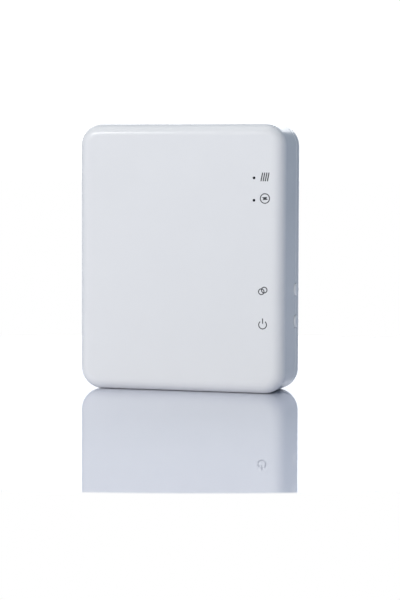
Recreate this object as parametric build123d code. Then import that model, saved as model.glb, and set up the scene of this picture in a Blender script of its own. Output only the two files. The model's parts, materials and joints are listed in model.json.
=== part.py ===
from build123d import *

import math
import os

# Mobile hotspot, standing upright on its short bottom edge.
# X runs across the front face, Y from front to back and Z up, in millimetres.
# The origin is the middle of the base, halfway between the front and back faces.

# Case
WIDTH = 65.3
HEIGHT = 82.0
DEPTH = 22.0
CORNER_R = 6.6
FRONT_EDGE_R = 3.6
BACK_EDGE_R = 2.6
WALL = 1.5
FRONT_Y = -DEPTH / 2
BACK_Y = DEPTH / 2
SIDE_X = WIDTH / 2
INNER_X = SIDE_X - WALL
INNER_FRONT_Y = FRONT_Y + WALL
PARTING_Y = 4.9
FRONT_SEAM_CHAMFER = 0.25
REAR_SEAM_CHAMFER = 0.4
PIECE_GAP = 0.1
THROUGH = 1.0
SMALL_EDGE_R = 0.3

# Rear housing and the battery cover behind it
COVER_Y = 8.2
COVER_WALL = 1.2
COVER_INNER_Y = BACK_Y - COVER_WALL
COVER_SEAM_CHAMFER = 0.15
DECK_Y = 9.4
DECK_THICK = 1.1
DECK_INSET = 2.2
LIP_HEIGHT = 1.2
LIP_THICK = 0.7
LIP_ROOT = 0.9
TAB_X = 28.6
TAB_SIZE = (1.2, 4.0)
TAB_TIP_Y = 8.0
TAB_GAP = 0.15
TAB_Z = (20.0, 41.0, 62.0)
PRY_R = 5.0
PRY_DEPTH = 0.8
PRY_SETBACK = 3.5

# Battery and its bay
BATTERY_X = 20.0
BATTERY_Y = (0.8, 9.2)
BATTERY_Z = (14.0, 66.0)
BATTERY_EDGE_R = 1.0
BATTERY_CAP_HEIGHT = 3.0
BAY_GAP = 0.3
BAY_WALL = 1.0
BAY_FLOOR_Y = 0.5
PAD_THICK = 0.45
PAD_SIZE = (28.0, 38.0)
LABEL_THICK = 0.08
LABEL_MARGIN = 2.0

# Battery contacts, at the bottom end of the bay
CONTACT_COUNT = 4
CONTACT_PITCH = 2.6
CONTACT_WIDTH = 1.0
CONTACT_Y = (2.6, 5.0)
CONTACT_THICK = 0.1
CONTACT_GAP = 0.1
CONTACT_PAD_WIDTH = 2.0
CONNECTOR_X = 6.0
CONNECTOR_Y_TOP = 5.6
CONNECTOR_Z = (8.6, 12.4)

# Main board
BOARD_Y = (-4.0, -3.0)
BOARD_X = 30.0
BOARD_Z = (3.2, 78.8)
BOARD_CORNER_R = 5.0
BOARD_FRONT_Y = BOARD_Y[0]
BOARD_BACK_Y = BOARD_Y[1]

# Screws and the bosses that take them
CASE_SCREW_X = 26.4
CASE_SCREW_Z = (6.2, 75.8)
CASE_SCREW_SEAT_Y = 0.6
CASE_SCREW_LENGTH = 8.0
CASE_SHANK_R = 0.8
CASE_HEAD_R = 1.5
CASE_HEAD_HEIGHT = 0.8
CASE_BOSS_R = 2.5
BOARD_SCREW_PLACES = ((-26.4, 47.0), (26.4, 52.0))
BOARD_SCREW_LENGTH = 4.0
BOARD_SHANK_R = 0.7
BOARD_HEAD_R = 1.3
BOARD_HEAD_HEIGHT = 0.7
BOARD_BOSS_R = 2.2
SNUG_GAP = 0.03
HOLE_GAP = 0.15
HEAD_CHAMFER = 0.25
TIP_CHAMFER = 0.4
RECESS_WIDTH = 0.35
RECESS_LENGTH = 1.7
RECESS_DEPTH = 0.4

# Side buttons, on the parting line of the right side
BUTTON_R = 1.95
BUTTON_PROUD = 0.6
BUTTON_EDGE_R = 0.55
BUTTON_HOLE_GAP = 0.08
BUTTON_HOLE_CHAMFER = 0.1
POWER_Z = 21.4
LINK_Z = 31.2
FLANGE_R = 2.5
FLANGE_X = (30.2, 30.9)
FLANGE_GAP = 0.25
STEM_R = 0.9

# Upright key board with a push switch behind each button
KEY_BOARD_X = (26.6, 27.4)
KEY_BOARD_Y_TOP = 6.8
KEY_BOARD_Z = (14.0, 38.0)
SWITCH_X = (27.4, 28.6)
SWITCH_SIZE = (3.2, 4.2)
PLUNGER_R = 0.9
PLUNGER_X = (28.2, 29.1)
PLUNGER_BORE_DEPTH = 0.8
PLUNGER_GAP = 0.1

# Reset switch behind a pinhole in the left side
RESET_Y = -2.1
RESET_Z = 36.0
RESET_BODY_X = (-30.0, -26.6)
RESET_BODY_SIZE = (1.7, 4.0)
RESET_PLUNGER_X = (-30.7, -29.5)
RESET_PLUNGER_R = 0.5
RESET_BORE_DEPTH = 0.8
PINHOLE_R = 0.6

# Lamps, light pipes and the light shroud
LAMP_X = 23.46
SIGNAL_LAMP_Z = 65.6
BATTERY_LAMP_Z = 58.85
LAMP_SIZE = (1.6, 0.6, 0.8)
PIPE_TIP_R = 0.41
PIPE_HOLE_R = 0.44
PIPE_BODY_R = 1.0
PIPE_Y = (-9.3, -4.9)
PIPE_RECESS = 0.05
SHROUD_HALF_X = 2.0
SHROUD_Y = (-9.4, -4.1)
SHROUD_MARGIN_Z = 2.3

# Printed marks beside the lamps and the buttons
INK_THICK = 0.02
STROKE = 0.28
MARK_X = 26.87
KEY_MARK_X = 26.35
SIGNAL_MARK_Z = 65.9
SIGNAL_STROKES = 4
SIGNAL_STROKE = 0.34
SIGNAL_PITCH = 0.66
SIGNAL_HEIGHT = 2.6
SIGNAL_SLANT = 0.5
CHARGE_MARK_Z = 59.4
CHARGE_RING_R = 1.43
BOLT_TURN = -38
BOLT_SIZE = 1.28
LINK_MARK_Z = 31.5
LINK_RING_R = 0.86
LINK_OFFSET = (0.46, 0.26)
POWER_MARK_Z = 21.2
POWER_RING_R = 1.22
POWER_GAP_ANGLE = 38
POWER_BAR = (0.35, 1.95)

# USB socket in the left side
USB_Z = 22.0
USB_X = (-32.0, -27.0)
USB_HALF_WIDTH = 3.75
USB_HEIGHT = 2.5
USB_SHEET = 0.25
USB_CORNER = 0.9
USB_OPENING_GAP = 0.25
TONGUE_HALF_WIDTH = 1.85
TONGUE_THICK = 0.6
TONGUE_X = (-31.0, -27.4)
USB_CONTACTS = 5
USB_CONTACT_PITCH = 0.65
USB_CONTACT_WIDTH = 0.35
USB_CONTACT_THICK = 0.12
USB_CONTACT_SETBACK = 0.65

# Shield cans, and chips as middle X and Z, width, length and thickness
SHEET = 0.25
MODEM_SHIELD_X = (-20.0, 12.0)
MODEM_SHIELD_Z = (26.0, 58.0)
MODEM_SHIELD_HEIGHT = 2.2
WIFI_SHIELD_X = (10.0, 20.0)
WIFI_SHIELD_Z = (40.0, 60.0)
WIFI_SHIELD_HEIGHT = 2.1
MODEM_CHIP = (-10.0, 46.0, 14.0, 14.0, 1.2)
MEMORY_CHIP = (5.0, 46.0, 10.0, 11.0, 1.0)
TRANSCEIVER_CHIP = (-10.0, 32.0, 7.0, 7.0, 0.9)
AMPLIFIER_CHIP = (5.0, 32.0, 5.0, 5.0, 0.9)
WIFI_CHIP = (15.0, 50.0, 6.0, 6.0, 0.9)
POWER_CHIP = (-14.0, 55.0, 6.0, 6.0, 0.9)
THERMAL_PAD_SIDE = 12.0
INDUCTOR_SIDE = 4.0
INDUCTOR_THICK = 1.8
INDUCTOR_PLACES = ((-14.0, 48.0), (-14.0, 42.0))
CAPACITOR_SIZE = (1.0, 0.5)
CAPACITOR_THICK = 0.5
CAPACITOR_PITCH = 2.2

# Rows of capacitors, each with its X, first Z and count
CAPACITOR_ROWS = ((-18.6, 40.0, 6), (-10.4, 46.0, 5), (12.0, 30.0, 4))

# Antennas and the plastic frames that carry them
UPPER_CARRIER_X = (-23.0, 23.0)
UPPER_CARRIER_Z = (70.5, 79.0)
UPPER_CARRIER_Y = -8.9
LOWER_CARRIER_X = (-16.0, 16.0)
LOWER_CARRIER_Z = (3.2, 11.0)
LOWER_CARRIER_Y = -8.4
CARRIER_WALL = 0.9
CARRIER_EDGE_R = 0.8
FOIL = 0.12
TRACE = 1.4
LEG_WIDTH = 1.6
LEG_END_Y = -5.3
CLIP_SIZE = (1.6, 1.2)
MAIN_LEGS_X = (-20.0, -14.0)
MAIN_ANTENNA_RIGHT = 6.0
WIFI_LEG_X = 12.0
DIVERSITY_LEG_X = 10.0

# SIM card and its holder, under the battery
CARD_SIZE = (15.0, 0.76, 25.0)
CARD_Y = -2.35
CARD_Z = 19.0
CARD_CUT_CORNER = 3.0
HOLDER_X = 8.4
HOLDER_Y_TOP = -1.1
HOLDER_Z = (18.0, 36.0)
HOLDER_WALL = 0.6
HOLDER_SHEET = 0.3
WINDOW_X = 8.5
WINDOW_Z = (34.0, 64.0)


def block(x, y, z):
    """Box between its low and high X, Y and Z."""
    size = [high - low for low, high in (x, y, z)]
    middle = [(low + high) / 2 for low, high in (x, y, z)]
    return Pos(*middle) * Box(*size)


def rod_x(radius, y, z, x):
    """Round bar along X, between the two values in x."""
    length = x[1] - x[0]
    return Pos((x[0] + x[1]) / 2, y, z) * Rot(Y=90) * Cylinder(radius, length)


def rod_y(radius, x, z, y):
    """Round bar along Y, between the two values in y."""
    length = y[1] - y[0]
    return Pos(x, (y[0] + y[1]) / 2, z) * Rot(X=90) * Cylinder(radius, length)


def facing_front(x, y, z):
    """Plane that looks out of the front face, with X to the right and Z up."""
    return Plane(origin=(x, y, z), x_dir=(1, 0, 0), z_dir=(0, -1, 0))


def slab(y_low, y_high, inset=0.0):
    """Slab with the outline of the case, drawn in by the inset."""
    outline = RectangleRounded(WIDTH - 2 * inset, HEIGHT - 2 * inset, CORNER_R - inset)
    return extrude(facing_front(0, y_high, HEIGHT / 2) * outline, amount=y_high - y_low)


def front_edges(solid):
    """Edges round the face that lies furthest forward."""
    return solid.faces().sort_by(Axis.Y)[0].edges()


def back_edges(solid):
    """Edges round the face that lies furthest back."""
    return solid.faces().sort_by(Axis.Y)[-1].edges()


def joined(solids):
    """One compound of separate solids."""
    return Compound(children=list(solids))


def case_screw_places():
    """X and Z of the four case screws."""
    return [(side * CASE_SCREW_X, z) for side in (-1, 1) for z in CASE_SCREW_Z]


def button_hole(z):
    """Hole for a side button through both halves of the case, with a softened mouth."""
    hole_r = BUTTON_R + BUTTON_HOLE_GAP
    hole = rod_x(hole_r, PARTING_Y, z, (INNER_X - THROUGH, SIDE_X + THROUGH))
    mouth = Pos(SIDE_X - BUTTON_HOLE_CHAMFER / 2, PARTING_Y, z) * Rot(Y=90) * Cone(
        hole_r, hole_r + BUTTON_HOLE_CHAMFER, BUTTON_HOLE_CHAMFER
    )
    return hole + mouth


def usb_profile(margin, x_low, x_high):
    """Socket outline, grown by a margin: wide at the back, with two cut corners in front."""
    half = USB_HALF_WIDTH + margin
    back = BOARD_BACK_Y + USB_HEIGHT + margin
    front = BOARD_BACK_Y - margin
    corner = USB_CORNER
    points = [
        (back, USB_Z - half),
        (back, USB_Z + half),
        (front + corner, USB_Z + half),
        (front, USB_Z + half - corner),
        (front, USB_Z - half + corner),
        (front + corner, USB_Z - half),
    ]
    plane = Plane(origin=(x_low, 0, 0), x_dir=(0, 1, 0), z_dir=(1, 0, 0))
    return extrude(plane * Polygon(*points, align=None), amount=x_high - x_low)


def front_cover():
    """Front face and side walls in one shell, with the bosses that the screws bite into."""
    outer = slab(FRONT_Y, PARTING_Y)
    outer = fillet(front_edges(outer), FRONT_EDGE_R)
    outer = chamfer(back_edges(outer), FRONT_SEAM_CHAMFER)
    inner = slab(INNER_FRONT_Y, PARTING_Y + THROUGH, WALL)
    inner = fillet(front_edges(inner), FRONT_EDGE_R - WALL)
    cover = outer - inner
    root = INNER_FRONT_Y - WALL / 2
    for x, z in case_screw_places():
        cover += rod_y(CASE_BOSS_R, x, z, (root, BOARD_FRONT_Y))
    for x, z in BOARD_SCREW_PLACES:
        cover += rod_y(BOARD_BOSS_R, x, z, (root, BOARD_FRONT_Y))
    pilot_y = (INNER_FRONT_Y + THROUGH, BOARD_FRONT_Y + THROUGH)
    for x, z in case_screw_places():
        cover -= rod_y(CASE_SHANK_R + SNUG_GAP, x, z, pilot_y)
    for x, z in BOARD_SCREW_PLACES:
        cover -= rod_y(BOARD_SHANK_R + SNUG_GAP, x, z, pilot_y)
    for z in (SIGNAL_LAMP_Z, BATTERY_LAMP_Z):
        cover -= rod_y(PIPE_HOLE_R, LAMP_X, z, (FRONT_Y - THROUGH, INNER_FRONT_Y + THROUGH))
    for z in (POWER_Z, LINK_Z):
        cover -= button_hole(z)
    cover -= usb_profile(USB_OPENING_GAP, -SIDE_X - THROUGH, -INNER_X + THROUGH)
    cover -= rod_x(PINHOLE_R, RESET_Y, RESET_Z, (-SIDE_X - THROUGH, -INNER_X + THROUGH))
    return cover


def housing_shell():
    """Rim, deck and inner lip of the rear housing, before the bay is sunk into it."""
    rim = slab(PARTING_Y, COVER_Y)
    rim = chamfer(front_edges(rim), REAR_SEAM_CHAMFER)
    rim = chamfer(back_edges(rim), COVER_SEAM_CHAMFER)
    deck = slab(COVER_Y - DECK_THICK, DECK_Y, DECK_INSET)
    shell = rim + deck
    shell -= slab(PARTING_Y - THROUGH, COVER_Y - DECK_THICK, WALL)
    shell -= slab(PARTING_Y, DECK_Y - DECK_THICK, DECK_INSET + DECK_THICK)
    lip_outer = WALL + PIECE_GAP
    lip_inner = lip_outer + LIP_THICK
    lip = slab(PARTING_Y - LIP_HEIGHT, PARTING_Y, lip_outer)
    lip += slab(PARTING_Y, PARTING_Y + LIP_ROOT, WALL / 2)
    lip -= slab(PARTING_Y - LIP_HEIGHT - THROUGH, COVER_Y, lip_inner)
    return shell + lip


def rear_housing():
    """Rear half of the case, with the battery bay, screw posts and slots for the cover's tabs."""
    housing = housing_shell()
    bay_x = BATTERY_X + BAY_GAP
    bay_z = (BATTERY_Z[0] - BAY_GAP, BATTERY_Z[1] + BAY_GAP)
    tub_x = (-bay_x - BAY_WALL, bay_x + BAY_WALL)
    tub_z = (bay_z[0] - BAY_WALL, bay_z[1] + BAY_WALL)
    housing += block(tub_x, (BAY_FLOOR_Y - BAY_WALL, DECK_Y - DECK_THICK / 2), tub_z)
    for x, z in case_screw_places():
        housing += rod_y(CASE_BOSS_R, x, z, (BOARD_BACK_Y, DECK_Y - DECK_THICK / 2))
    housing -= block((-bay_x, bay_x), (BAY_FLOOR_Y, DECK_Y + THROUGH), bay_z)
    window_y = (BAY_FLOOR_Y - BAY_WALL - THROUGH, BAY_FLOOR_Y + THROUGH)
    housing -= block((-WINDOW_X, WINDOW_X), window_y, WINDOW_Z)
    contact_half = CONTACT_COUNT * CONTACT_PITCH / 2
    contact_y = (CONTACT_Y[0] - BAY_GAP, CONTACT_Y[1] + BAY_GAP)
    contact_z = (tub_z[0] - THROUGH, BATTERY_Z[0] + THROUGH)
    housing -= block((-contact_half, contact_half), contact_y, contact_z)
    for x, z in case_screw_places():
        housing -= rod_y(CASE_HEAD_R + HOLE_GAP, x, z, (CASE_SCREW_SEAT_Y, DECK_Y + THROUGH))
        housing -= rod_y(CASE_SHANK_R + HOLE_GAP, x, z, (BOARD_BACK_Y - THROUGH, COVER_Y))
    for x, z in tab_places():
        half_x = TAB_SIZE[0] / 2 + TAB_GAP
        half_z = TAB_SIZE[1] / 2 + TAB_GAP
        slot_y = (COVER_Y - DECK_THICK - THROUGH, DECK_Y + THROUGH)
        housing -= block((x - half_x, x + half_x), slot_y, (z - half_z, z + half_z))
    for z in (POWER_Z, LINK_Z):
        housing -= button_hole(z)
        housing -= rod_x(FLANGE_R + FLANGE_GAP, PARTING_Y, z, (FLANGE_X[0] - THROUGH, INNER_X))
    pry_x = (-SIDE_X - THROUGH, -SIDE_X + PRY_DEPTH)
    housing -= rod_x(PRY_R, COVER_Y + PRY_SETBACK, HEIGHT / 2, pry_x)
    return housing


def tab_places():
    """X and Z of the battery cover's six tabs."""
    return [(side * TAB_X, z) for side in (-1, 1) for z in TAB_Z]


def battery_cover():
    """Shallow tray that forms the whole back face and pulls straight off."""
    outer = slab(COVER_Y, BACK_Y)
    outer = fillet(back_edges(outer), BACK_EDGE_R)
    outer = chamfer(front_edges(outer), COVER_SEAM_CHAMFER)
    inner = slab(COVER_Y - THROUGH, COVER_INNER_Y, COVER_WALL)
    inner = fillet(back_edges(inner), BACK_EDGE_R - COVER_WALL)
    cover = outer - inner
    for x, z in tab_places():
        half_x = TAB_SIZE[0] / 2
        half_z = TAB_SIZE[1] / 2
        tab_y = (TAB_TIP_Y, COVER_INNER_Y + COVER_WALL / 2)
        cover += block((x - half_x, x + half_x), tab_y, (z - half_z, z + half_z))
    return cover


def cover_pad():
    """Soft foam on the inside of the battery cover, over the battery."""
    half_x, half_z = PAD_SIZE[0] / 2, PAD_SIZE[1] / 2
    middle = sum(BATTERY_Z) / 2
    y = (COVER_INNER_Y - PAD_THICK, COVER_INNER_Y)
    return block((-half_x, half_x), y, (middle - half_z, middle + half_z))


def cross_recess(x, z, top_y):
    """Cross cut into the head of a screw."""
    half_l, half_w = RECESS_LENGTH / 2, RECESS_WIDTH / 2
    y = (top_y - RECESS_DEPTH, top_y + RECESS_DEPTH)
    upright = block((x - half_w, x + half_w), y, (z - half_l, z + half_l))
    level = block((x - half_l, x + half_l), y, (z - half_w, z + half_w))
    return upright + level


def screw(x, z, seat_y, shank_r, length, head_r, head_height):
    """Pan head screw driven in from the back, seated on the given Y."""
    head = rod_y(head_r, x, z, (seat_y, seat_y + head_height))
    head = chamfer(back_edges(head), HEAD_CHAMFER)
    shank = rod_y(shank_r, x, z, (seat_y - length, seat_y))
    shank = chamfer(front_edges(shank), TIP_CHAMFER)
    return head + shank - cross_recess(x, z, seat_y + head_height)


def case_screws():
    """Four screws that hold the rear housing, the main board and the front cover together."""
    sizes = (CASE_SHANK_R, CASE_SCREW_LENGTH, CASE_HEAD_R, CASE_HEAD_HEIGHT)
    return joined(screw(x, z, CASE_SCREW_SEAT_Y, *sizes) for x, z in case_screw_places())


def board_screws():
    """Two screws that hold the main board to the front cover."""
    sizes = (BOARD_SHANK_R, BOARD_SCREW_LENGTH, BOARD_HEAD_R, BOARD_HEAD_HEIGHT)
    return joined(screw(x, z, BOARD_BACK_Y, *sizes) for x, z in BOARD_SCREW_PLACES)


def side_button(z):
    """Round cap with a flange that keeps it in the case and a stem that meets its switch."""
    cap = rod_x(BUTTON_R, PARTING_Y, z, (FLANGE_X[1], SIDE_X + BUTTON_PROUD))
    cap = fillet(cap.faces().sort_by(Axis.X)[-1].edges(), BUTTON_EDGE_R)
    flange = rod_x(FLANGE_R, PARTING_Y, z, FLANGE_X)
    stem = rod_x(STEM_R, PARTING_Y, z, (PLUNGER_X[1], FLANGE_X[0]))
    return cap + flange + stem


def push_switch(z):
    """Body of a push switch on the key board, bored for its plunger."""
    half_y, half_z = SWITCH_SIZE[0] / 2, SWITCH_SIZE[1] / 2
    y = (PARTING_Y - half_y, PARTING_Y + half_y)
    body = block(SWITCH_X, y, (z - half_z, z + half_z))
    bore_x = (SWITCH_X[1] - PLUNGER_BORE_DEPTH, SWITCH_X[1] + THROUGH)
    return body - rod_x(PLUNGER_R + PLUNGER_GAP, PARTING_Y, z, bore_x)


def push_plunger(z):
    """Plunger of a push switch."""
    return rod_x(PLUNGER_R, PARTING_Y, z, PLUNGER_X)


def key_board():
    """Small board that stands upright on the main board behind the two buttons."""
    return block(KEY_BOARD_X, (BOARD_BACK_Y, KEY_BOARD_Y_TOP), KEY_BOARD_Z)


def reset_switch():
    """Side push switch at the edge of the main board, bored for its plunger."""
    half_z = RESET_BODY_SIZE[1] / 2
    y = (BOARD_BACK_Y, BOARD_BACK_Y + RESET_BODY_SIZE[0])
    body = block(RESET_BODY_X, y, (RESET_Z - half_z, RESET_Z + half_z))
    bore_x = (RESET_BODY_X[0] - THROUGH, RESET_BODY_X[0] + RESET_BORE_DEPTH)
    return body - rod_x(RESET_PLUNGER_R + PLUNGER_GAP, RESET_Y, RESET_Z, bore_x)


def reset_plunger():
    """Plunger of the reset switch, just inside the pinhole."""
    return rod_x(RESET_PLUNGER_R, RESET_Y, RESET_Z, RESET_PLUNGER_X)


def lamp(z):
    """Surface lamp on the front of the main board."""
    width, thick, tall = LAMP_SIZE
    return front_chip(LAMP_X, z, width, tall, thick)


def light_pipe(z):
    """Smoked rod that carries a lamp's light to a pinpoint in the front face."""
    body = rod_y(PIPE_BODY_R, LAMP_X, z, PIPE_Y)
    return body + rod_y(PIPE_TIP_R, LAMP_X, z, (FRONT_Y + PIPE_RECESS, PIPE_Y[0]))


def light_shroud():
    """Black rubber block that holds both light pipes and keeps their light apart."""
    x = (LAMP_X - SHROUD_HALF_X, LAMP_X + SHROUD_HALF_X)
    z = (BATTERY_LAMP_Z - SHROUD_MARGIN_Z, SIGNAL_LAMP_Z + SHROUD_MARGIN_Z)
    shroud = block(x, SHROUD_Y, z)
    for lamp_z in (SIGNAL_LAMP_Z, BATTERY_LAMP_Z):
        bore_y = (SHROUD_Y[0] - THROUGH, SHROUD_Y[1] + THROUGH)
        shroud -= rod_y(PIPE_BODY_R + SNUG_GAP, LAMP_X, lamp_z, bore_y)
    return shroud


def ring(radius):
    """Flat ring with the stroke's width, centred on a radius."""
    return Circle(radius + STROKE / 2) - Circle(radius - STROKE / 2)


def print_mark(sketch, x, z):
    """Lay a flat mark on the front face as a film of ink."""
    return extrude(facing_front(x, FRONT_Y, z) * sketch, amount=INK_THICK)


def signal_mark():
    """Slanted strokes beside the signal lamp."""
    half_h, half_s, half_w = SIGNAL_HEIGHT / 2, SIGNAL_SLANT / 2, SIGNAL_STROKE / 2
    strokes = []
    for index in range(SIGNAL_STROKES):
        x = (index - (SIGNAL_STROKES - 1) / 2) * SIGNAL_PITCH
        corners = [
            (x - half_s - half_w, -half_h),
            (x - half_s + half_w, -half_h),
            (x + half_s + half_w, half_h),
            (x + half_s - half_w, half_h),
        ]
        strokes.append(print_mark(Polygon(*corners, align=None), MARK_X, SIGNAL_MARK_Z))
    return joined(strokes)


def battery_mark():
    """Ringed lightning bolt beside the battery lamp."""
    bolt = [(0.25, 0.7), (-0.75, -0.25), (-0.2, -0.25), (-0.25, -0.7), (0.75, 0.25), (0.2, 0.25)]
    points = [(x * BOLT_SIZE, z * BOLT_SIZE) for x, z in bolt]
    flash = Rot(Z=BOLT_TURN) * Polygon(*points, align=None)
    outlines = (ring(CHARGE_RING_R), flash)
    return joined(print_mark(outline, MARK_X, CHARGE_MARK_Z) for outline in outlines)


def link_mark():
    """Two linked rings in front of the link button."""
    x, z = LINK_OFFSET
    rings = Pos(-x, -z) * ring(LINK_RING_R) + Pos(x, z) * ring(LINK_RING_R)
    return print_mark(rings, KEY_MARK_X, LINK_MARK_Z)


def power_mark():
    """Standard power sign in front of the power button: an open ring and a bar."""
    reach = POWER_RING_R + STROKE
    side = reach * math.tan(math.radians(POWER_GAP_ANGLE))
    gap = Polygon((0, 0), (side, reach), (-side, reach), align=None)
    low, high = POWER_BAR
    bar = Pos(0, (low + high) / 2) * Rectangle(STROKE, high - low)
    outlines = (ring(POWER_RING_R) - gap, bar)
    return joined(print_mark(outline, KEY_MARK_X, POWER_MARK_Z) for outline in outlines)


def battery_body(z):
    """Flat body with rounded long edges, as wide and deep as the battery."""
    body = block((-BATTERY_X, BATTERY_X), BATTERY_Y, z)
    return fillet(body.edges().filter_by(Axis.Z), BATTERY_EDGE_R)


def battery_pack():
    """Battery cell in its can, above the end cap."""
    return battery_body((BATTERY_Z[0] + BATTERY_CAP_HEIGHT, BATTERY_Z[1]))


def battery_end_cap():
    """Plastic cap over the battery's protection circuit, at its bottom end."""
    return battery_body((BATTERY_Z[0], BATTERY_Z[0] + BATTERY_CAP_HEIGHT))


def battery_label():
    """Plain wrapper sheet on the back of the battery."""
    half_x = BATTERY_X - LABEL_MARGIN
    z = (BATTERY_Z[0] + BATTERY_CAP_HEIGHT + LABEL_MARGIN, BATTERY_Z[1] - LABEL_MARGIN)
    return block((-half_x, half_x), (BATTERY_Y[1], BATTERY_Y[1] + LABEL_THICK), z)


def contact_row():
    """X of each battery contact."""
    first = -(CONTACT_COUNT - 1) / 2 * CONTACT_PITCH
    return [first + index * CONTACT_PITCH for index in range(CONTACT_COUNT)]


def battery_pads():
    """Gold pads on the bottom end of the battery."""
    z = (BATTERY_Z[0] - CONTACT_THICK, BATTERY_Z[0])
    half = CONTACT_PAD_WIDTH / 2
    return joined(block((x - half, x + half), CONTACT_Y, z) for x in contact_row())


def battery_connector():
    """Tall insulating block on the main board that carries the battery springs."""
    body = block((-CONNECTOR_X, CONNECTOR_X), (BOARD_BACK_Y, CONNECTOR_Y_TOP), CONNECTOR_Z)
    return fillet(body.edges().filter_by(Axis.X), SMALL_EDGE_R)


def battery_springs():
    """Sprung fingers that reach through the bay wall towards the battery pads."""
    tip_z = BATTERY_Z[0] - CONTACT_THICK - CONTACT_GAP
    half = CONTACT_WIDTH / 2
    middle = sum(CONTACT_Y) / 2
    fingers = []
    for x in contact_row():
        finger = block((x - half, x + half), CONTACT_Y, (CONNECTOR_Z[1], tip_z - half))
        nose = Pos(x, middle, tip_z - half) * Rot(Y=90) * Cylinder(half, CONTACT_WIDTH)
        fingers.append(finger + nose)
    return joined(fingers)


def main_board():
    """Main circuit board, with holes for the case screws and its own."""
    width = 2 * BOARD_X
    height = BOARD_Z[1] - BOARD_Z[0]
    plane = facing_front(0, BOARD_BACK_Y, sum(BOARD_Z) / 2)
    outline = RectangleRounded(width, height, BOARD_CORNER_R)
    board = extrude(plane * outline, amount=BOARD_BACK_Y - BOARD_FRONT_Y)
    through = (BOARD_FRONT_Y - THROUGH, BOARD_BACK_Y + THROUGH)
    for x, z in case_screw_places():
        board -= rod_y(CASE_SHANK_R + HOLE_GAP, x, z, through)
    for x, z in BOARD_SCREW_PLACES:
        board -= rod_y(BOARD_SHANK_R + HOLE_GAP, x, z, through)
    return board


def front_chip(x, z, width, tall, thick):
    """Flat package on the front of the main board."""
    y = (BOARD_FRONT_Y - thick, BOARD_FRONT_Y)
    return block((x - width / 2, x + width / 2), y, (z - tall / 2, z + tall / 2))


def back_chip(x, z, width, tall, thick):
    """Flat package on the back of the main board."""
    y = (BOARD_BACK_Y, BOARD_BACK_Y + thick)
    return block((x - width / 2, x + width / 2), y, (z - tall / 2, z + tall / 2))


def shield(x, y, z, open_y):
    """Can of thin sheet over chips, open towards the board."""
    inner_x = (x[0] + SHEET, x[1] - SHEET)
    inner_z = (z[0] + SHEET, z[1] - SHEET)
    return block(x, y, z) - block(inner_x, open_y, inner_z)


def modem_shield():
    """Shield over the modem chips, on the front of the main board."""
    y = (BOARD_FRONT_Y - MODEM_SHIELD_HEIGHT, BOARD_FRONT_Y)
    return shield(MODEM_SHIELD_X, y, MODEM_SHIELD_Z, (y[0] + SHEET, y[1] + THROUGH))


def wifi_shield():
    """Shield over the Wi-Fi chip, on the back of the main board."""
    y = (BOARD_BACK_Y, BOARD_BACK_Y + WIFI_SHIELD_HEIGHT)
    return shield(WIFI_SHIELD_X, y, WIFI_SHIELD_Z, (y[0] - THROUGH, y[1] - SHEET))


def thermal_pad():
    """Soft pad between the modem processor and the lid of its shield."""
    x, z, _, _, thick = MODEM_CHIP
    half = THERMAL_PAD_SIDE / 2
    lid_y = BOARD_FRONT_Y - MODEM_SHIELD_HEIGHT + SHEET
    return block((x - half, x + half), (lid_y, BOARD_FRONT_Y - thick), (z - half, z + half))


def power_inductors():
    """Two wound inductors beside the power chip."""
    size = (INDUCTOR_SIDE, INDUCTOR_SIDE, INDUCTOR_THICK)
    bodies = [back_chip(x, z, *size) for x, z in INDUCTOR_PLACES]
    return joined(fillet(body.edges().filter_by(Axis.Y), SMALL_EDGE_R) for body in bodies)


def board_capacitors():
    """Rows of small capacitors on the back of the main board."""
    size = (*CAPACITOR_SIZE, CAPACITOR_THICK)
    chips = []
    for x, first_z, count in CAPACITOR_ROWS:
        for index in range(count):
            chips.append(back_chip(x, first_z + index * CAPACITOR_PITCH, *size))
    return joined(chips)


def usb_shell():
    """Sheet metal shell of the USB socket."""
    shell = usb_profile(0, *USB_X)
    return shell - usb_profile(-USB_SHEET, USB_X[0] - THROUGH, USB_X[1] - USB_SHEET)


def tongue_y():
    """Low and high Y of the tongue in the USB socket."""
    middle = BOARD_BACK_Y + USB_HEIGHT / 2
    return (middle, middle + TONGUE_THICK)


def usb_tongue():
    """Plastic tongue that carries the contacts, on a block that closes the back of the socket."""
    z = (USB_Z - TONGUE_HALF_WIDTH, USB_Z + TONGUE_HALF_WIDTH)
    rear_x = (TONGUE_X[1] - THROUGH, TONGUE_X[1])
    rear_y = (BOARD_BACK_Y + USB_SHEET, BOARD_BACK_Y + USB_HEIGHT - USB_SHEET)
    return block(TONGUE_X, tongue_y(), z) + block(rear_x, rear_y, z)


def usb_contacts():
    """Contact strips on the front side of the tongue."""
    y = (tongue_y()[0] - USB_CONTACT_THICK, tongue_y()[0])
    x = (TONGUE_X[0] + USB_CONTACT_SETBACK, TONGUE_X[1] - THROUGH)
    half = USB_CONTACT_WIDTH / 2
    first = USB_Z - (USB_CONTACTS - 1) / 2 * USB_CONTACT_PITCH
    rows = [first + index * USB_CONTACT_PITCH for index in range(USB_CONTACTS)]
    return joined(block(x, y, (z - half, z + half)) for z in rows)


def antenna_carrier(x, front_y, z):
    """Plastic frame on the front of the main board, hollow towards the board."""
    body = block(x, (front_y, BOARD_FRONT_Y), z)
    body = fillet(body.edges().filter_by(Axis.Y), CARRIER_EDGE_R)
    hollow_x = (x[0] + CARRIER_WALL, x[1] - CARRIER_WALL)
    hollow_z = (z[0] + CARRIER_WALL, z[1] - CARRIER_WALL)
    return body - block(hollow_x, (front_y + CARRIER_WALL, BOARD_FRONT_Y + THROUGH), hollow_z)


def foil_strip(front_y, x, z):
    """Strip of foil on the front of a carrier."""
    return block(x, (front_y - FOIL, front_y), z)


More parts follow.
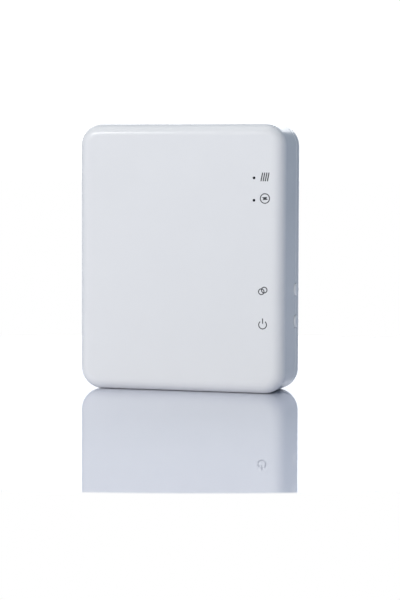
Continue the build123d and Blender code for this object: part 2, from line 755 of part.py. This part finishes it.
def feed_leg(front_y, x_middle, edge_z, outward):
    """Leg of foil that runs down the side of a carrier to a spring clip on the board."""
    x = (x_middle - LEG_WIDTH / 2, x_middle + LEG_WIDTH / 2)
    z = sorted((edge_z, edge_z + outward * FOIL))
    return block(x, (front_y - FOIL, LEG_END_Y), z)


def main_antenna():
    """Folded foil antenna along the upper carrier, with a feed leg and a ground leg."""
    y = UPPER_CARRIER_Y
    low, high = UPPER_CARRIER_Z
    left = UPPER_CARRIER_X[0] + CARRIER_EDGE_R
    right = MAIN_ANTENNA_RIGHT
    antenna = foil_strip(y, (left, right), (low, low + TRACE))
    antenna += foil_strip(y, (right - TRACE, right), (low, high - CARRIER_EDGE_R))
    antenna += foil_strip(y, (left, right), (high - CARRIER_EDGE_R - TRACE, high - CARRIER_EDGE_R))
    antenna += foil_strip(y, (left, left + TRACE), ((low + high) / 2, high - CARRIER_EDGE_R))
    for x in MAIN_LEGS_X:
        antenna += feed_leg(y, x, low, -1)
    return antenna


def wifi_antenna():
    """Short foil antenna at the right end of the upper carrier."""
    y = UPPER_CARRIER_Y
    low, high = UPPER_CARRIER_Z
    right = UPPER_CARRIER_X[1] - CARRIER_EDGE_R
    left = WIFI_LEG_X - LEG_WIDTH / 2
    antenna = foil_strip(y, (left, right), (low, low + TRACE))
    antenna += foil_strip(y, (right - TRACE, right), (low, high - CARRIER_EDGE_R))
    return antenna + feed_leg(y, WIFI_LEG_X, low, -1)


def diversity_antenna():
    """Second receive antenna, on the lower carrier."""
    y = LOWER_CARRIER_Y
    low, high = LOWER_CARRIER_Z
    left = LOWER_CARRIER_X[0] + CARRIER_EDGE_R
    right = DIVERSITY_LEG_X + LEG_WIDTH / 2
    antenna = foil_strip(y, (left, right), (high - TRACE, high))
    antenna += foil_strip(y, (left, left + TRACE), (low + CARRIER_EDGE_R, high))
    antenna += foil_strip(y, (left, right - LEG_WIDTH), (low + CARRIER_EDGE_R, low + CARRIER_EDGE_R + TRACE))
    return antenna + feed_leg(y, DIVERSITY_LEG_X, high, 1)


def antenna_clips():
    """Spring clips on the main board, one under each antenna leg."""
    half_x, half_z = CLIP_SIZE[0] / 2, CLIP_SIZE[1] / 2
    places = [(x, UPPER_CARRIER_Z[0] - half_z) for x in (*MAIN_LEGS_X, WIFI_LEG_X)]
    places.append((DIVERSITY_LEG_X, LOWER_CARRIER_Z[1] + half_z))
    clips = []
    for x, z in places:
        outer = block((x - half_x, x + half_x), (LEG_END_Y, BOARD_FRONT_Y), (z - half_z, z + half_z))
        hollow_y = (LEG_END_Y + SHEET, BOARD_FRONT_Y - SHEET)
        hollow_z = (z - half_z + SHEET, z + half_z + THROUGH)
        clips.append(outer - block((x - half_x, x + half_x), hollow_y, hollow_z))
    return joined(clips)


def sim_card():
    """Card with one cut corner, gripped by its upper end."""
    width, thick, tall = CARD_SIZE
    half = width / 2
    cut = CARD_CUT_CORNER
    corners = [(-half, 0), (half, 0), (half, tall), (-half + cut, tall), (-half, tall - cut)]
    plane = facing_front(0, CARD_Y + thick, CARD_Z)
    return extrude(plane * Polygon(*corners, align=None), amount=thick)


def sim_holder():
    """Holder on the back of the main board, open upwards where the card slides out."""
    body = block((-HOLDER_X, HOLDER_X), (BOARD_BACK_Y, HOLDER_Y_TOP), HOLDER_Z)
    slot_x = (-HOLDER_X + HOLDER_WALL, HOLDER_X - HOLDER_WALL)
    slot_y = (BOARD_BACK_Y + HOLDER_SHEET, HOLDER_Y_TOP - HOLDER_SHEET)
    return body - block(slot_x, slot_y, (HOLDER_Z[0] + HOLDER_WALL, HOLDER_Z[1] + THROUGH))


PIECES = {
    "front_cover": front_cover,
    "rear_housing": rear_housing,
    "battery_cover": battery_cover,
    "cover_pad": cover_pad,
    "case_screws": case_screws,
    "board_screws": board_screws,
    "power_button": lambda: side_button(POWER_Z),
    "link_button": lambda: side_button(LINK_Z),
    "power_switch": lambda: push_switch(POWER_Z),
    "link_switch": lambda: push_switch(LINK_Z),
    "power_plunger": lambda: push_plunger(POWER_Z),
    "link_plunger": lambda: push_plunger(LINK_Z),
    "key_board": key_board,
    "reset_switch": reset_switch,
    "reset_plunger": reset_plunger,
    "signal_lamp": lambda: lamp(SIGNAL_LAMP_Z),
    "battery_lamp": lambda: lamp(BATTERY_LAMP_Z),
    "signal_light_pipe": lambda: light_pipe(SIGNAL_LAMP_Z),
    "battery_light_pipe": lambda: light_pipe(BATTERY_LAMP_Z),
    "light_shroud": light_shroud,
    "signal_mark": signal_mark,
    "battery_mark": battery_mark,
    "link_mark": link_mark,
    "power_mark": power_mark,
    "battery_pack": battery_pack,
    "battery_end_cap": battery_end_cap,
    "battery_label": battery_label,
    "battery_pads": battery_pads,
    "battery_connector": battery_connector,
    "battery_springs": battery_springs,
    "main_board": main_board,
    "modem_shield": modem_shield,
    "wifi_shield": wifi_shield,
    "modem_processor": lambda: front_chip(*MODEM_CHIP),
    "memory_chip": lambda: front_chip(*MEMORY_CHIP),
    "radio_transceiver": lambda: front_chip(*TRANSCEIVER_CHIP),
    "power_amplifier": lambda: front_chip(*AMPLIFIER_CHIP),
    "wifi_chip": lambda: back_chip(*WIFI_CHIP),
    "power_chip": lambda: back_chip(*POWER_CHIP),
    "thermal_pad": thermal_pad,
    "power_inductors": power_inductors,
    "board_capacitors": board_capacitors,
    "usb_shell": usb_shell,
    "usb_tongue": usb_tongue,
    "usb_contacts": usb_contacts,
    "upper_antenna_carrier": lambda: antenna_carrier(UPPER_CARRIER_X, UPPER_CARRIER_Y, UPPER_CARRIER_Z),
    "lower_antenna_carrier": lambda: antenna_carrier(LOWER_CARRIER_X, LOWER_CARRIER_Y, LOWER_CARRIER_Z),
    "main_antenna": main_antenna,
    "wifi_antenna": wifi_antenna,
    "diversity_antenna": diversity_antenna,
    "antenna_clips": antenna_clips,
    "sim_holder": sim_holder,
    "sim_card": sim_card,
}

os.makedirs("parts", exist_ok=True)
for name, make in PIECES.items():
    export_step(make(), os.path.join("parts", name + ".step"))
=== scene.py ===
"""Looks, light and camera of the mobile hotspot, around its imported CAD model."""

import json
import math

import bpy
from mathutils import Matrix, Vector


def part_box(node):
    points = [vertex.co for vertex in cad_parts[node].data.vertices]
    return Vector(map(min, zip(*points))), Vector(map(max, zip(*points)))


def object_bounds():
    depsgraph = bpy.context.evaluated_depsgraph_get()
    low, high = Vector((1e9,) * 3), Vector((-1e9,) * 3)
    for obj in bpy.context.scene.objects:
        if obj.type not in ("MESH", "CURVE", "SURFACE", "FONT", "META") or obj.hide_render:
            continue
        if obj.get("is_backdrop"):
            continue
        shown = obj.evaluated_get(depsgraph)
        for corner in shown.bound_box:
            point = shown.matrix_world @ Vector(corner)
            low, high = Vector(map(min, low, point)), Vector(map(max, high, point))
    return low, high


MM = 0.001

# Camera: its place in metres, how many degrees it turns left and tilts down from looking along +Y, its roll
# in degrees, and its lens, sensor width (both in millimetres) and nearest distance
CAMERA_PLACE = (0.1853, -0.6186, 0.0673)
CAMERA_TURN = 16.39
CAMERA_TILT = 3.52
CAMERA_ROLL = 0.19
CAMERA_LENS = 124.8
CAMERA_SENSOR = 36.0
CAMERA_NEAREST = 0.05

# Studio: each softbox has its place, the point it faces, its width and height, radiance and colour
FACING = (0.0, 0.0, 0.045)
SOFTBOXES = {
    "front_panel": ((-0.20, -1.62, 0.74), FACING, (2.9, 1.3), 1.88, (1.0, 0.955, 0.885)),
    "key_box": ((-0.61, -0.94, 0.62), FACING, (0.50, 0.36), 5.0, (1.0, 1.0, 0.99)),
    "back_panel": ((-0.80, 2.40, 0.90), (-0.20, 0.0, 0.90), (1.9, 1.9), 1.42, (1.0, 1.0, 1.0)),
    "top_panel": ((-0.20, -0.10, 1.30), FACING, (0.9, 0.9), 0.55, (1.0, 1.0, 1.0)),
    "rear_fill": ((-0.65, 1.45, 1.25), FACING, (2.0, 1.2), 2.0, (1.0, 0.98, 0.96)),
}

# Softboxes that light the object but make no highlight on it
HIDDEN_IN_GLOSS = {"front_panel", "rear_fill"}

# Room light, and the strength of the white that the camera sees behind the object
ROOM_COLOUR = (0.60, 0.77, 1.0)
ROOM_LIGHT = 0.31
BACKGROUND_COLOUR = (1.0, 1.0, 1.0)
BACKGROUND_LIGHT = 1.1

# Floor: a polished table top under the object, and a plain white surround that only the camera sees, which
# opens softly between the two distances of POLISHED_REACH from the middle of the object's base
TABLE_SIDE = 4.5
TABLE_DROP = 0.02 * MM
TABLE_COLOUR = (0.765, 0.78, 0.865)
TABLE_ROUGHNESS = 0.01
SURROUND_SIDE = 30.0
SURROUND_DROP = 0.01 * MM
SURROUND_LIGHT = 1.0
POLISHED_REACH = (0.211, 0.214)

# Share of the battery label's height that its darker band covers
LABEL_BAND_SHARE = 0.16

# Sockets of a colour Mix node and inputs of a shader Mix node, whose names aren't unique
MIX_FIRST = 6
MIX_SECOND = 7
MIX_RESULT = 2
SHADER_FIRST = 1
SHADER_SECOND = 2

# Rays for finding edges and crevices, and the values between which each fades in
EDGE_SAMPLES = 4
EDGE_FADE = (0.98, 0.75)
CREVICE_SAMPLES = 6
CREVICE_FADE = (0.75, 0.2)

# Values of a noise between which roughness goes from its low to its high
ROUGHNESS_FADE = (0.3, 0.7)

# Circuit board: tracks as a brick pattern, and plated holes scattered in cells
TRACK_OFFSET = 0.37
TRACK_PATTERN = {"Scale": 1 / (9 * MM), "Mortar Size": 0.018, "Brick Width": 0.8, "Row Height": 0.09}
PLATED_HOLE_COLOUR = (0.72, 0.60, 0.36)
PLATED_HOLE_FADE = (0.13, 0.1)


class Material:
    """A Principled material whose looks are built up from small procedural steps."""

    def __init__(self, name, roughness=0.5, metallic=0.0, **sockets):
        self.data = bpy.data.materials.new(name)
        self.data.use_nodes = True
        self.nodes = self.data.node_tree.nodes
        self.links = self.data.node_tree.links
        self.shader = self.nodes["Principled BSDF"]
        self.shader.inputs["Roughness"].default_value = roughness
        self.shader.inputs["Metallic"].default_value = metallic
        for socket, value in sockets.items():
            self.shader.inputs[socket.replace("_", " ")].default_value = value
        self.place = self.nodes.new("ShaderNodeTexCoord").outputs["Object"]
        self.normal = None

    def stretched(self, factors):
        """Object coordinates scaled apart along X, Y and Z, for grain that runs one way."""
        mapping = self.nodes.new("ShaderNodeMapping")
        mapping.inputs["Scale"].default_value = factors
        self.links.new(self.place, mapping.inputs["Vector"])
        return mapping.outputs["Vector"]

    def noise(self, size, detail=3.0, place=None, distortion=0.0):
        """Noise whose blotches are about the given size in metres."""
        noise = self.nodes.new("ShaderNodeTexNoise")
        noise.inputs["Scale"].default_value = 1.0 / size
        noise.inputs["Detail"].default_value = detail
        noise.inputs["Distortion"].default_value = distortion
        self.links.new(place or self.place, noise.inputs["Vector"])
        return noise.outputs["Fac"]

    def cells(self, size):
        """Distance to the nearest of cells about the given size in metres."""
        cells = self.nodes.new("ShaderNodeTexVoronoi")
        cells.inputs["Scale"].default_value = 1.0 / size
        self.links.new(self.place, cells.inputs["Vector"])
        return cells.outputs["Distance"]

    def along(self, axis):
        """One of the object coordinates, named X, Y or Z."""
        split = self.nodes.new("ShaderNodeSeparateXYZ")
        self.links.new(self.place, split.inputs["Vector"])
        return split.outputs[axis]

    def spread(self, value, low, high, to_low=0.0, to_high=1.0):
        """Value between low and high, brought smoothly to between to_low and to_high."""
        spread = self.nodes.new("ShaderNodeMapRange")
        spread.interpolation_type = "SMOOTHSTEP"
        numbers = {"From Min": low, "From Max": high, "To Min": to_low, "To Max": to_high}
        for socket, number in numbers.items():
            spread.inputs[socket].default_value = number
        self.links.new(value, spread.inputs["Value"])
        return spread.outputs["Result"]

    def combine(self, operation, first, second):
        """Math on two values, of which the second may be a number."""
        math_node = self.nodes.new("ShaderNodeMath")
        math_node.operation = operation
        self.links.new(first, math_node.inputs[0])
        if isinstance(second, float):
            math_node.inputs[1].default_value = second
        else:
            self.links.new(second, math_node.inputs[1])
        return math_node.outputs["Value"]

    def edges(self, radius):
        """About 1 on edges within the radius, and 0 on flat faces."""
        bevel = self.nodes.new("ShaderNodeBevel")
        bevel.samples = EDGE_SAMPLES
        bevel.inputs["Radius"].default_value = radius
        shape = self.nodes.new("ShaderNodeNewGeometry")
        dot = self.nodes.new("ShaderNodeVectorMath")
        dot.operation = "DOT_PRODUCT"
        self.links.new(bevel.outputs["Normal"], dot.inputs[0])
        self.links.new(shape.outputs["Normal"], dot.inputs[1])
        return self.spread(dot.outputs["Value"], *EDGE_FADE)

    def crevices(self, distance):
        """About 1 deep in seams and corners narrower than the distance, and 0 in the open."""
        shelter = self.nodes.new("ShaderNodeAmbientOcclusion")
        shelter.samples = CREVICE_SAMPLES
        shelter.inputs["Distance"].default_value = distance
        return self.spread(shelter.outputs["AO"], *CREVICE_FADE)

    def colours(self, factor, first, second):
        """First colour where the factor is 0 and second where it is 1. Either may be a socket."""
        mix = self.nodes.new("ShaderNodeMix")
        mix.data_type = "RGBA"
        self.links.new(factor, mix.inputs["Factor"])
        for socket, colour in ((mix.inputs[MIX_FIRST], first), (mix.inputs[MIX_SECOND], second)):
            if isinstance(colour, tuple):
                socket.default_value = (*colour, 1.0)
            else:
                self.links.new(colour, socket)
        return mix.outputs[MIX_RESULT]

    def paint(self, colour):
        """Take the base colour from a socket."""
        self.links.new(colour, self.shader.inputs["Base Color"])

    def roughen(self, value, low, high):
        """Roughness between low and high, following a value."""
        self.links.new(self.spread(value, *ROUGHNESS_FADE, low, high), self.shader.inputs["Roughness"])

    def bump(self, height, depth):
        """Raise the surface by up to the depth in metres, on top of earlier bumps."""
        bump = self.nodes.new("ShaderNodeBump")
        bump.inputs["Distance"].default_value = depth
        self.links.new(height, bump.inputs["Height"])
        if self.normal is not None:
            self.links.new(self.normal, bump.inputs["Normal"])
        self.normal = bump.outputs["Normal"]
        self.links.new(self.normal, self.shader.inputs["Normal"])


def tinted(colour, factor):
    """Colour made lighter or darker by a factor."""
    return tuple(min(1.0, channel * factor) for channel in colour)


def shell_plastic(name, colour, seam_shade_and_dust=0.72):
    """Glossy moulded plastic: faint orange peel, smudges, hairline scratches, painted shade in the seams
    that also stands for dust, and a painted sheen on the edges.
    """
    material = Material(name, Coat_Weight=0.25, Coat_Roughness=0.05)
    blotches = material.noise(size=14 * MM)
    clean = material.colours(blotches, tinted(colour, factor=0.985), tinted(colour, factor=1.01))
    # Painted sheen: edges made lighter in colour to look shiny and polished.
    edge_sheen_and_polish = material.colours(material.edges(radius=0.35 * MM), clean, tinted(colour, factor=1.05))
    # Painted shade: colour darkened in seams and crevices where shade falls, also standing for dust.
    seam_shaded_and_dusty = material.colours(material.crevices(distance=0.25 * MM), edge_sheen_and_polish, tinted(colour, seam_shade_and_dust))
    material.paint(seam_shaded_and_dusty)
    smudges = material.noise(size=9 * MM, detail=6.0, distortion=0.6)
    material.roughen(smudges, low=0.13, high=0.22)
    material.bump(material.noise(size=1.1 * MM, detail=1.0), depth=0.002 * MM)
    hairlines = material.noise(size=0.5 * MM, detail=2.0, place=material.stretched((1.0, 1.0, 0.03)))
    material.bump(material.spread(hairlines, low=0.66, high=0.74), depth=0.0006 * MM)
    return material.data


def cap_plastic_with_less_seam_shade(name, colour):
    """The shell's plastic with only faint painted seam shade, so the cap's edge stays lit."""
    return shell_plastic(name, colour, seam_shade_and_dust=0.95)


def printed_ink(name, colour):
    """Screen-printed ink: uneven cover with a slightly ragged, matt surface."""
    material = Material(name, Specular_IOR_Level=0.35)
    cover = material.noise(size=0.12 * MM, detail=4.0)
    material.paint(material.colours(cover, tinted(colour, factor=0.88), tinted(colour, factor=1.12)))
    material.roughen(cover, low=0.38, high=0.55)
    material.bump(cover, depth=0.004 * MM)
    return material.data


def smoked_lens(name, colour):
    """Dark clear plastic, polished at its tip."""
    material = Material(name, IOR=1.58, Coat_Weight=0.4, Coat_Roughness=0.03)
    haze = material.noise(size=0.6 * MM)
    material.paint(material.colours(haze, tinted(colour, factor=0.7), tinted(colour, factor=1.4)))
    material.roughen(haze, low=0.05, high=0.12)
    material.bump(haze, depth=0.002 * MM)
    return material.data


def moulded_plastic(name, colour, grain=0.25 * MM, roughness=(0.45, 0.62)):
    """Matt moulded plastic with spark-eroded grain and paler, rubbed edges."""
    material = Material(name)
    grains = material.noise(grain, detail=4.0)
    blotches = material.noise(size=6 * MM)
    base = material.colours(blotches, tinted(colour, factor=0.93), tinted(colour, factor=1.05))
    material.paint(material.colours(material.edges(radius=0.12 * MM), base, tinted(colour, factor=1.35)))
    material.roughen(grains, *roughness)
    material.bump(grains, depth=0.012 * MM)
    return material.data


def rubber(name, colour):
    """Soft rubber with a dusty, finely pitted surface."""
    material = Material(name, Sheen_Weight=0.15, Sheen_Roughness=0.5)
    pits = material.noise(size=0.18 * MM, detail=5.0)
    patches = material.noise(size=2.5 * MM, detail=5.0)
    dust = material.spread(patches, low=0.5, high=0.75)
    material.paint(material.colours(dust, colour, tinted(colour, factor=1.9)))
    material.roughen(pits, low=0.62, high=0.82)
    material.bump(pits, depth=0.012 * MM)
    return material.data


def open_foam(name, colour):
    """Open-cell foam: dark pores between pale cell walls."""
    material = Material(name, Sheen_Weight=0.2, Sheen_Roughness=0.6)
    pores = material.cells(size=0.45 * MM)
    walls = material.spread(pores, low=0.1, high=0.55)
    material.paint(material.colours(walls, tinted(colour, factor=0.35), tinted(colour, factor=1.35)))
    material.roughen(pores, low=0.8, high=0.95)
    material.bump(pores, depth=0.12 * MM)
    return material.data


def brushed_metal(name, colour, grain=(1.0, 1.0, 0.04), roughness=(0.24, 0.38)):
    """Sheet or turned metal with fine grain along one axis, blotches and bright edges."""
    material = Material(name, metallic=1.0)
    lines = material.noise(size=0.12 * MM, detail=3.0, place=material.stretched(grain))
    blotches = material.noise(size=3 * MM, detail=4.0)
    base = material.colours(blotches, tinted(colour, factor=0.82), tinted(colour, factor=1.06))
    material.paint(material.colours(material.edges(radius=0.08 * MM), base, tinted(colour, factor=1.3)))
    both = material.combine("ADD", lines, blotches)
    material.roughen(material.combine("MULTIPLY", both, 0.5), *roughness)
    material.bump(lines, depth=0.003 * MM)
    return material.data


def battery_label_film(name, colour):
    """Plain printed wrapper: a darker band at its lower end, fine wrinkles and faint fibre."""
    material = Material(name, Coat_Weight=0.3, Coat_Roughness=0.25)
    low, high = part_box("battery_label")
    band_top = low.z + (high.z - low.z) * LABEL_BAND_SHARE
    band = material.spread(material.along("Z"), band_top, band_top + 0.05 * MM)
    fibre = material.noise(size=0.4 * MM, detail=6.0)
    printed = material.colours(band, tinted(colour, factor=0.38), colour)
    flecks = material.spread(fibre, low=0.55, high=0.8)
    material.paint(material.colours(flecks, printed, tinted(colour, factor=0.8)))
    wrinkles = material.noise(size=5 * MM, detail=2.0, distortion=1.2)
    material.roughen(fibre, low=0.3, high=0.45)
    material.bump(wrinkles, depth=0.05 * MM)
    material.bump(fibre, depth=0.003 * MM)
    return material.data


def circuit_board(name, colour):
    """Solder mask over mottled laminate, with copper tracks and scattered plated holes."""
    material = Material(name, Coat_Weight=0.5, Coat_Roughness=0.15)
    tracks = material.nodes.new("ShaderNodeTexBrick")
    tracks.offset = TRACK_OFFSET
    for socket, number in TRACK_PATTERN.items():
        tracks.inputs[socket].default_value = number
    turned = material.nodes.new("ShaderNodeMapping")
    turned.inputs["Rotation"].default_value = (math.pi / 2, 0.0, 0.0)
    material.links.new(material.place, turned.inputs["Vector"])
    material.links.new(turned.outputs["Vector"], tracks.inputs["Vector"])
    mottle = material.noise(size=0.35 * MM, detail=4.0)
    laminate = material.colours(mottle, tinted(colour, factor=0.85), tinted(colour, factor=1.1))
    tracked = material.colours(tracks.outputs["Fac"], laminate, tinted(colour, factor=1.7))
    holes = material.spread(material.cells(size=2.6 * MM), *PLATED_HOLE_FADE)
    material.paint(material.colours(holes, tracked, PLATED_HOLE_COLOUR))
    material.roughen(mottle, low=0.26, high=0.4)
    material.bump(tracks.outputs["Fac"], depth=0.02 * MM)
    material.bump(mottle, depth=0.003 * MM)
    return material.data


def chip_package(name, colour):
    """Moulded chip resin, sanded flat, with pale dust on its edges."""
    material = Material(name)
    grains = material.noise(size=0.08 * MM, detail=5.0)
    cloud = material.noise(size=1.6 * MM, detail=4.0)
    base = material.colours(cloud, tinted(colour, factor=0.8), tinted(colour, factor=1.25))
    material.paint(material.colours(material.edges(radius=0.1 * MM), base, tinted(colour, factor=2.2)))
    material.roughen(grains, low=0.42, high=0.58)
    material.bump(grains, depth=0.006 * MM)
    return material.data


def ceramic_body(name, colour):
    """Fired ceramic or ferrite, finely speckled."""
    material = Material(name)
    speckle = material.noise(size=0.1 * MM, detail=6.0)
    material.paint(material.colours(speckle, tinted(colour, factor=0.7), tinted(colour, factor=1.3)))
    material.roughen(speckle, low=0.35, high=0.6)
    material.bump(speckle, depth=0.008 * MM)
    return material.data


def plated_gold(name, colour):
    """Gold plating with fine brush lines and duller blotches."""
    return brushed_metal(name, colour, grain=(1.0, 0.2, 0.06), roughness=(0.16, 0.3))


def lamp_lens(name, colour):
    """Cloudy lens of a surface lamp."""
    material = Material(name, Coat_Weight=0.5, Coat_Roughness=0.1, Subsurface_Weight=0.2)
    material.shader.inputs["Subsurface Radius"].default_value = (0.3 * MM, 0.3 * MM, 0.2 * MM)
    cloud = material.noise(size=0.3 * MM, detail=4.0)
    material.paint(material.colours(cloud, tinted(colour, factor=0.85), tinted(colour, factor=1.08)))
    material.roughen(cloud, low=0.15, high=0.3)
    material.bump(cloud, depth=0.004 * MM)
    return material.data


def card_plastic(name, colour):
    """Laminated card with a faint satin texture and worn edges."""
    material = Material(name, Coat_Weight=0.2, Coat_Roughness=0.2)
    satin = material.noise(size=0.1 * MM, detail=3.0)
    rubs = material.noise(size=4 * MM, detail=7.0, distortion=1.5)
    scuffs = material.spread(rubs, low=0.6, high=0.75)
    base = material.colours(scuffs, colour, tinted(colour, factor=0.86))
    material.paint(material.colours(material.edges(radius=0.1 * MM), base, tinted(colour, factor=0.75)))
    material.roughen(satin, low=0.3, high=0.42)
    material.bump(satin, depth=0.002 * MM)
    return material.data


LOOKS = {
    "front_shell": (shell_plastic, (0.815, 0.815, 0.82)),
    "rear_shell": (shell_plastic, (0.80, 0.805, 0.815)),
    # Lighter than the shell: painted light that brightens the lit edges of the buttons.
    "button_cap": (cap_plastic_with_less_seam_shade, (0.90, 0.905, 0.91)),
    "print_ink": (printed_ink, (0.042, 0.043, 0.047)),
    "smoked_pipe": (smoked_lens, (0.006, 0.006, 0.007)),
    "black_rubber": (rubber, (0.02, 0.02, 0.02)),
    "foam": (open_foam, (0.055, 0.055, 0.06)),
    "screw_steel": (brushed_metal, (0.50, 0.505, 0.52)),
    "cell_can": (brushed_metal, (0.66, 0.67, 0.69)),
    "battery_plastic": (moulded_plastic, (0.035, 0.035, 0.038)),
    "label_film": (battery_label_film, (0.66, 0.68, 0.70)),
    "gold_contact": (plated_gold, (0.93, 0.68, 0.30)),
    "black_plastic": (moulded_plastic, (0.03, 0.03, 0.03)),
    "plunger_plastic": (moulded_plastic, (0.62, 0.60, 0.54)),
    "circuit_board": (circuit_board, (0.012, 0.11, 0.045)),
    "shield_sheet": (brushed_metal, (0.68, 0.68, 0.67)),
    "chip_package": (chip_package, (0.03, 0.03, 0.033)),
    "wound_ferrite": (ceramic_body, (0.10, 0.10, 0.11)),
    "capacitor_ceramic": (ceramic_body, (0.40, 0.27, 0.17)),
    "lamp_lens": (lamp_lens, (0.85, 0.80, 0.45)),
    "thermal_silicone": (rubber, (0.18, 0.36, 0.50)),
    "carrier_plastic": (moulded_plastic, (0.66, 0.63, 0.56)),
    "antenna_foil": (plated_gold, (0.90, 0.55, 0.34)),
    "holder_sheet": (brushed_metal, (0.58, 0.585, 0.60)),
    "card_plastic": (card_plastic, (0.80, 0.80, 0.78)),
}


def dress_nodes(frame):
    """Give every CAD node the material of its slot."""
    made = {slot: make(slot + "_look", colour) for slot, (make, colour) in LOOKS.items()}
    for subpart in frame["record"]["subparts"]:
        node = frame["nodes"][subpart["node"]]
        for place in node.material_slots:
            place.material = made[subpart["material_slot"]]


def add_camera():
    """Camera at the viewing angle, turned left, tilted down and rolled a little."""
    camera = bpy.data.objects.new("camera", bpy.data.cameras.new("camera"))
    camera.data.lens = CAMERA_LENS
    camera.data.sensor_width = CAMERA_SENSOR
    camera.data.clip_start = CAMERA_NEAREST
    turn = Matrix.Rotation(math.radians(CAMERA_TURN), 4, "Z")
    tilt = Matrix.Rotation(math.radians(90.0 - CAMERA_TILT), 4, "X")
    roll = Matrix.Rotation(math.radians(CAMERA_ROLL), 4, "Z")
    camera.matrix_world = Matrix.Translation(CAMERA_PLACE) @ turn @ tilt @ roll
    bpy.context.scene.collection.objects.link(camera)
    bpy.context.scene.camera = camera


def add_softbox(name, place, target, size, radiance, colour):
    """Rectangular light that no camera sees. It shows in gloss unless it is in HIDDEN_IN_GLOSS."""
    light = bpy.data.lights.new(name, "AREA")
    light.shape = "RECTANGLE"
    light.size, light.size_y = size
    light.energy = radiance * math.pi * size[0] * size[1]
    light.color = colour
    softbox = bpy.data.objects.new(name, light)
    direction = Vector(target) - Vector(place)
    softbox.location = place
    softbox.rotation_euler = direction.to_track_quat("-Z", "Y").to_euler()
    softbox.visible_camera = False
    softbox.visible_glossy = name not in HIDDEN_IN_GLOSS
    bpy.context.scene.collection.objects.link(softbox)


def add_room():
    """Dim, even room light, with a plain white background behind the object."""
    world = bpy.data.worlds.new("studio")
    world.use_nodes = True
    nodes, links = world.node_tree.nodes, world.node_tree.links
    room = nodes["Background"]
    room.inputs["Color"].default_value = (*ROOM_COLOUR, 1.0)
    room.inputs["Strength"].default_value = ROOM_LIGHT
    white = nodes.new("ShaderNodeBackground")
    white.inputs["Color"].default_value = (*BACKGROUND_COLOUR, 1.0)
    white.inputs["Strength"].default_value = BACKGROUND_LIGHT
    rays = nodes.new("ShaderNodeLightPath")
    mix = nodes.new("ShaderNodeMixShader")
    links.new(rays.outputs["Is Camera Ray"], mix.inputs["Fac"])
    links.new(room.outputs["Background"], mix.inputs[SHADER_FIRST])
    links.new(white.outputs["Background"], mix.inputs[SHADER_SECOND])
    links.new(mix.outputs["Shader"], nodes["World Output"].inputs["Surface"])
    bpy.context.scene.world = world


def level_square(name, side, drop, look):
    """Square of floor, its middle below the object's by the drop."""
    half = side / 2
    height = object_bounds()[0].z - drop
    corners = [(-half, -half, height), (half, -half, height), (half, half, height), (-half, half, height)]
    mesh = bpy.data.meshes.new(name)
    mesh.from_pydata(corners, [], [(0, 1, 2, 3)])
    mesh.materials.append(look)
    square = bpy.data.objects.new(name, mesh)
    bpy.context.scene.collection.objects.link(square)
    square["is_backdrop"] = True
    return square


def table_look():
    """Polished, slightly cool white."""
    material = Material("table_look", roughness=TABLE_ROUGHNESS, IOR=1.5)
    material.shader.inputs["Base Color"].default_value = (*TABLE_COLOUR, 1.0)
    return material.data


def surround_look():
    """White that lights nothing, open in the middle with a soft edge."""
    material = Material("surround_look")
    distance = material.nodes.new("ShaderNodeVectorMath")
    distance.operation = "LENGTH"
    material.links.new(material.place, distance.inputs[0])
    cover = material.spread(distance.outputs["Value"], *POLISHED_REACH)
    white = material.nodes.new("ShaderNodeEmission")
    white.inputs["Strength"].default_value = SURROUND_LIGHT
    opening = material.nodes.new("ShaderNodeBsdfTransparent")
    mix = material.nodes.new("ShaderNodeMixShader")
    material.links.new(cover, mix.inputs["Fac"])
    material.links.new(opening.outputs["BSDF"], mix.inputs[SHADER_FIRST])
    material.links.new(white.outputs["Emission"], mix.inputs[SHADER_SECOND])
    material.links.new(mix.outputs["Shader"], material.nodes["Material Output"].inputs["Surface"])
    return material.data


def add_floor():
    """Polished table top with its white surround."""
    level_square("floor_table", TABLE_SIDE, TABLE_DROP, table_look())
    surround = level_square("floor_surround", SURROUND_SIDE, SURROUND_DROP, surround_look())
    surround.visible_diffuse = False
    surround.visible_glossy = False
    surround.visible_transmission = False
    surround.visible_shadow = False


with open("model.json") as file:
    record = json.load(file)
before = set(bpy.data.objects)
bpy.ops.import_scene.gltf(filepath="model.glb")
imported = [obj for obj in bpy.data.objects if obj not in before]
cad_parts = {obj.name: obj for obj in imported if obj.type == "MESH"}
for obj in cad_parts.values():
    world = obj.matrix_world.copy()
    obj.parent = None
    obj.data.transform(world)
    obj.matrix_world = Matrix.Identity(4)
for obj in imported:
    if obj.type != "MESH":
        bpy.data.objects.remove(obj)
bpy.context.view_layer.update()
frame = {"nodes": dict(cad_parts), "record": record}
add_camera()
add_room()
for name, softbox in SOFTBOXES.items():
    add_softbox(name, *softbox)
add_floor()
dress_nodes(frame)
bpy.context.scene.view_settings.view_transform = "Standard"
